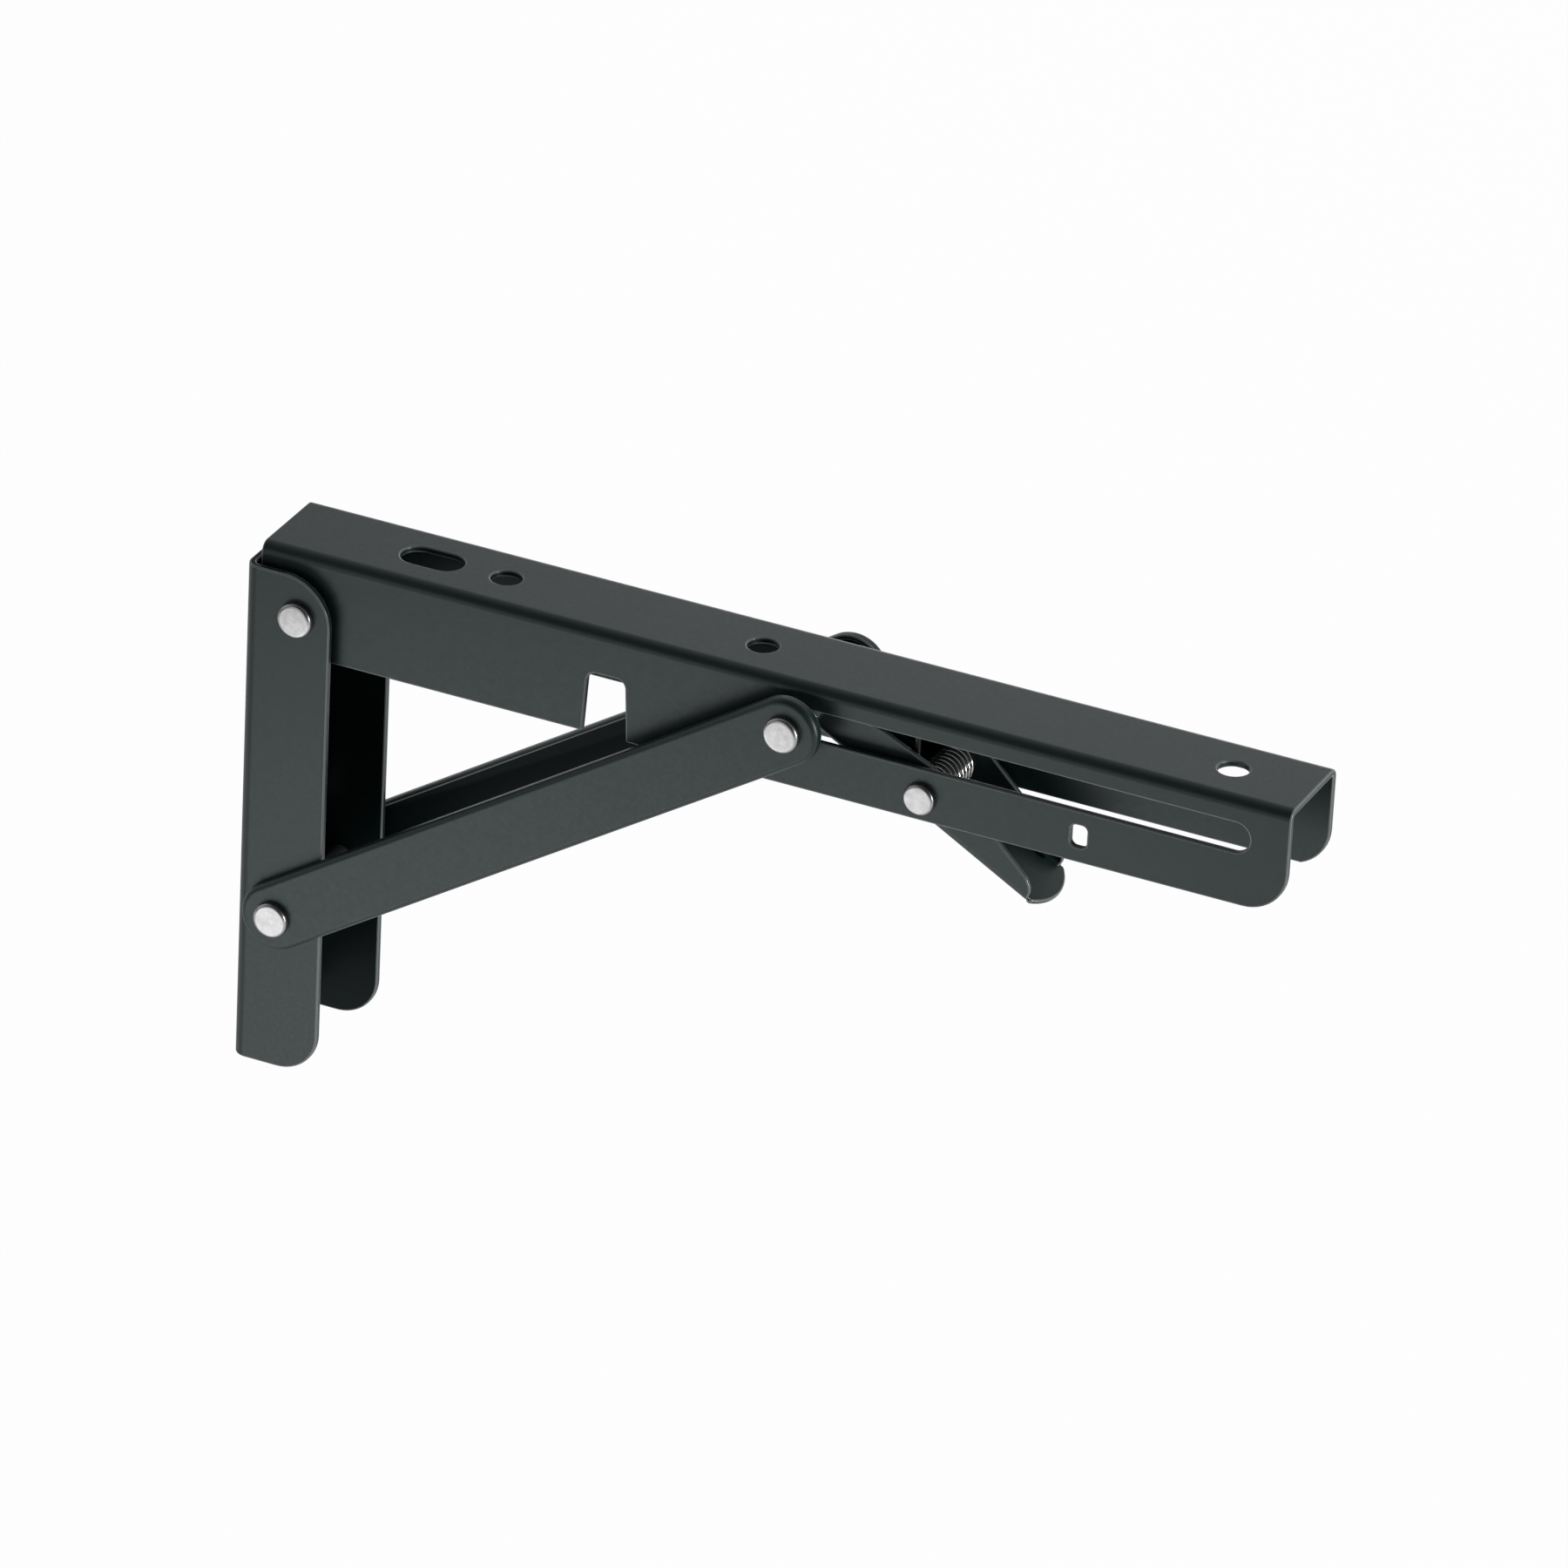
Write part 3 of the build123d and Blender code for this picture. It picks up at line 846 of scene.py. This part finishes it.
# %% Wind the spring
last_angle = coil_turns * math.tau
last_point = Vector((-coil_radius * math.cos(last_angle), coil_length / 2,
                     -coil_radius * math.sin(last_angle)))
lever_way = Vector((math.cos(LEVER_SLOPE), 0, -math.sin(LEVER_SLOPE)))
lever_leg_length = (spring_high.x - WIRE_RADIUS - spring_axis.x - last_point.x) / lever_way.x
arm_leg_top = spring_high.z - spring_axis.z
spring_values = {
    "Coil radius": coil_radius,
    "Coil length": coil_length,
    "Turns": coil_turns,
    "Wire radius": WIRE_RADIUS,
    "First leg end": Vector((-coil_radius, -coil_length / 2, arm_leg_top)),
    "Last leg start": last_point,
    "Last leg end": last_point + lever_way * lever_leg_length,
    "Metal": SPRING_MATERIAL,
    # The first leg lies in shade, painted into its nearly black steel.
    "First leg metal": SHADE_STEEL_MATERIAL,
}
spring_mesh = tree_result(bpy.data.meshes.new("spring_source"), SPRING_TREE, spring_values)
spring = closed_piece("torsion_spring_wound", spring_mesh)
spring.data.transform(Matrix.Translation(spring_axis))
print("spring:", len(spring.data.polygons), "faces")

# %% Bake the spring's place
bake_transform(spring)
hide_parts("torsion_spring")

# %% [markdown]
# ## Camera
# The photograph was taken with a long lens from the front, to the right and above, and the
# camera is tilted a little about its own axis. A camera could be aimed by hand, but three angles
# and a distance can be fitted to the outline in the photograph, and so they place it here. It
# looks at a point on the bracket's middle plane. Its focal length is a share of the picture's
# width, fitted with the angles.

# %% Where the camera looks
AZIMUTH, ELEVATION, ROLL = 24.094, 28.318, 2.936
azimuth, elevation, roll = (math.radians(value) for value in (AZIMUTH, ELEVATION, ROLL))
back = Vector((math.sin(azimuth) * math.cos(elevation), -math.cos(azimuth) * math.cos(elevation),
               math.sin(elevation)))
level = Vector((math.cos(azimuth), math.sin(azimuth), 0))
right = level * math.cos(roll) + back.cross(level) * math.sin(roll)
top = back.cross(right)
print("the camera is towards", [round(value, 3) for value in back])

# %% Camera
DISTANCE = 3.2629
AIM = Vector((0.15096, 0.0, 0.04064))
SENSOR = 36.0
FOCAL_SHARE = 14276.5 / 1800
camera_data = bpy.data.cameras.new("camera")
camera_data.sensor_width = SENSOR
camera_data.lens = SENSOR * FOCAL_SHARE
camera_data.clip_start, camera_data.clip_end = 0.01, 50
camera = bpy.data.objects.new("camera", camera_data)
turned = Matrix((right, top, back)).transposed().to_4x4()
camera.matrix_world = Matrix.Translation(AIM + back * DISTANCE) @ turned
bpy.context.scene.collection.objects.link(camera)
bpy.context.scene.camera = camera
print("lens", round(camera_data.lens, 1), "mm")

# %% [markdown]
# ## Floor
# The photograph is a cut-out on white. Light strong enough to burn the floor out would burn the
# zinc out too, so the floor is pale paper that only looks white: to the camera it glows, and for
# the light it stays paper. It lies well below the bracket and still takes its soft shadow.
# Reflections show it less bright, because a satin coat would turn pale otherwise, and less bright
# again further out in front.

# %% A wide sheet of paper
FLOOR_DROP = 0.30
FLOOR_REACH = 12.0
floor_z = cad_box[0].z - FLOOR_DROP
floor_mesh = bpy.data.meshes.new("floor")
floor_corners = [(x * FLOOR_REACH, y * FLOOR_REACH, floor_z)
                 for x, y in ((-1, -1), (1, -1), (1, 1), (-1, 1))]
floor_mesh.from_pydata(floor_corners, [], [(0, 1, 2, 3)])
floor = bpy.data.objects.new("floor", floor_mesh)
bpy.context.scene.collection.objects.link(floor)
print("floor at", round(floor_z / MM), "mm")


# %% A value that fades along a way
def graded(tree, where, way, start, end, first, last):
    """A value that goes softly from first to last, as `where` goes from start to end on a way."""
    along = add_node(tree, "ShaderNodeVectorMath", {0: where, 1: way}, operation="DOT_PRODUCT")
    return map_range(tree, along.outputs["Value"], start, end, first, last, kind="SMOOTHSTEP")


print("fade helper:", graded.__name__)

# %% Paper that looks white
FLOOR_TO_CAMERA = 0.98
FLOOR_TO_REFLECTIONS = 0.64
FLOOR_FADE_WAY = Vector((-0.41, -0.91, 0))
FLOOR_FADE = (0.4, 1.5)
PAPER = (0.5, 0.5, 0.5, 1)


def floor_paper():
    """White paper that lights the scene as paper does, and glows white to the camera."""
    material, shader = new_material("floor_paper", Roughness=0.9, Base_Color=PAPER)
    tree = material.node_tree
    ray = tree.nodes.new("ShaderNodeLightPath").outputs
    mirrored = math_node(tree, "MAXIMUM", ray["Is Glossy Ray"], ray["Is Transmission Ray"])
    fade = graded(tree, object_place(tree), FLOOR_FADE_WAY, *FLOOR_FADE, FLOOR_TO_REFLECTIONS, 0.0)
    in_mirrors = math_node(tree, "MULTIPLY", mirrored, fade)
    seen = math_node(tree, "MULTIPLY", ray["Is Camera Ray"], FLOOR_TO_CAMERA)
    glow = add_node(tree, "ShaderNodeEmission", {"Strength": 1.0}).outputs["Emission"]
    mix = add_node(tree, "ShaderNodeMixShader", {
        "Fac": math_node(tree, "MAXIMUM", seen, in_mirrors), 1: shader.outputs["BSDF"], 2: glow})
    feed(tree, tree.nodes["Material Output"].inputs["Surface"], mix.outputs["Shader"])
    return material


floor_mesh.materials.append(floor_paper())
print("floor looks", FLOOR_TO_CAMERA, "white, and", FLOOR_TO_REFLECTIONS, "in reflections")

# %% [markdown]
# ## World
# The studio is bright behind the bracket and below it, and darker in front and above, where the
# camera stands. That dark side is what draws a dark band along every bend. A picture of a studio
# could surround the scene, but one soft step from bright to dark does what the coat shows. The
# camera itself sees the world as white.

# %% World
WORLD_BRIGHT, WORLD_DARK = 0.56, 0.05
DARK_WAY = Vector((0.30, -0.72, 0.62)).normalized()
DARK_FROM_TO = (0.05, 0.85)


def studio_world():
    """A world that is white to the camera, and for all else bright but for one dark side."""
    world = bpy.data.worlds.new("studio")
    world.use_nodes = True
    tree = world.node_tree
    way_out = tree.nodes.new("ShaderNodeTexCoord").outputs["Generated"]
    brightness = graded(tree, way_out, DARK_WAY, *DARK_FROM_TO, WORLD_BRIGHT, WORLD_DARK)
    to_camera = tree.nodes.new("ShaderNodeLightPath").outputs["Is Camera Ray"]
    background = tree.nodes["Background"]
    feed(tree, background.inputs["Color"], (1, 1, 1, 1))
    feed(tree, background.inputs["Strength"], math_node(tree, "MAXIMUM", brightness, to_camera))
    return world


bpy.context.scene.world = studio_world()
print("world dark towards", [round(value, 2) for value in DARK_WAY])

# %% [markdown]
# ## Lights
# Soft boxes light a thing in a studio, and each leaves its mark in a satin coat. One big lamp
# would make the bracket as bright, but not in the same places. So a large panel at the left is
# the main light, two small ones close in front light the lower left and the right end, where the
# photograph is lighter, and two behind and to the right draw the thin pale lines along the edges.


# %% A soft panel
def panel(name, place, size, power, aim=AIM):
    """A square soft light at a place, turned to a point on the bracket."""
    data = bpy.data.lights.new(name, "AREA")
    data.shape = "SQUARE"
    data.size = size
    data.energy = power
    lamp = bpy.data.objects.new(name, data)
    lamp.location = place
    lamp.rotation_euler = (place - aim).to_track_quat("Z", "Y").to_euler()
    lamp.visible_camera = False
    bpy.context.scene.collection.objects.link(lamp)


print("light helper:", panel.__name__)

# %% Five panels
FAR_PANEL = 1.6


def from_aim(way):
    """The place of a large panel, out from the point that the camera looks at."""
    return AIM + way.normalized() * FAR_PANEL


panel("key_left", from_aim(-right * 0.9 - top * 0.35 + back * 0.8), 0.7, 1.3)
panel("low_front", Vector((-0.05, -0.27, -0.20)), 0.26, 0.27, aim=Vector((0.06, 0, -0.05)))
panel("right_end", Vector((0.19, -0.27, -0.13)), 0.20, 0.09, aim=Vector((0.30, 0, 0.02)))
panel("rim_back", from_aim(Vector((-0.25, 0.95, 0.10))), 0.8, 2.5)
panel("rim_right", from_aim(Vector((1.0, 0.0, 0.10))), 0.5, 15)

# %% [markdown]
# ## Finish
# The view transform is Standard, so colours come out as they are written.

# %% Finish
bpy.context.scene.view_settings.view_transform = "Standard"
